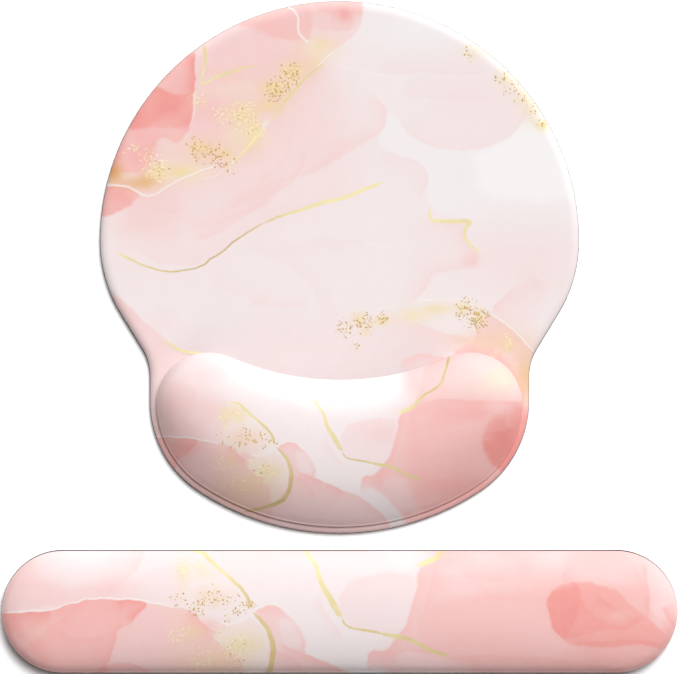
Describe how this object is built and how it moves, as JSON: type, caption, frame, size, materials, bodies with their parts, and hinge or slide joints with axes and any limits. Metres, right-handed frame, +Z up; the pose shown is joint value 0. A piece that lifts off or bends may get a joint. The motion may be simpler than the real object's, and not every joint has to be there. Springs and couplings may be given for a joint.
{
  "type": "wrist rest set",
  "caption": "Round mouse pad with a raised saddle-shaped memory foam wrist cushion, and a matching long keyboard wrist rest with half-round ends, both in printed stretch fabric.",
  "frame": {"origin": "middle of the set's footprint on the desk, with the two pieces laid out as in use", "axes": "+X to the user's right along the keyboard rest, +Y away from the user, +Z up from the desk"},
  "size_m": [0.44, 0.4372, 0.025],
  "materials": {
    "pad_base": "matt textured",
    "pad_glue_film": "clear film",
    "pad_foam": "open-cell foam",
    "pad_cover": "smooth printed stretch knit",
    "cushion_glue_film": "clear film",
    "cushion_core": "memory foam",
    "cushion_cover": "smooth printed stretch knit",
    "rest_base": "matt textured",
    "rest_glue_film": "clear film",
    "rest_core": "memory foam",
    "rest_cover": "smooth printed stretch knit"
  },
  "bodies": {
    "mouse_pad": {"pad_base": "pad_base", "pad_glue_film": "pad_glue_film", "pad_foam": "pad_foam", "pad_cover": "pad_cover", "cushion_glue_film": "cushion_glue_film", "cushion_core": "cushion_core", "cushion_cover": "cushion_cover"},
    "keyboard_rest": {"rest_base": "rest_base", "rest_glue_film": "rest_glue_film", "rest_core": "rest_core", "rest_cover": "rest_cover"}
  },
  "joints": [
    {"name": "keyboard_rest_placing", "type": "slide", "parent": "mouse_pad", "child": "keyboard_rest", "axis": [0, -1, 0], "range_m": [0, 0.12]}
  ]
}
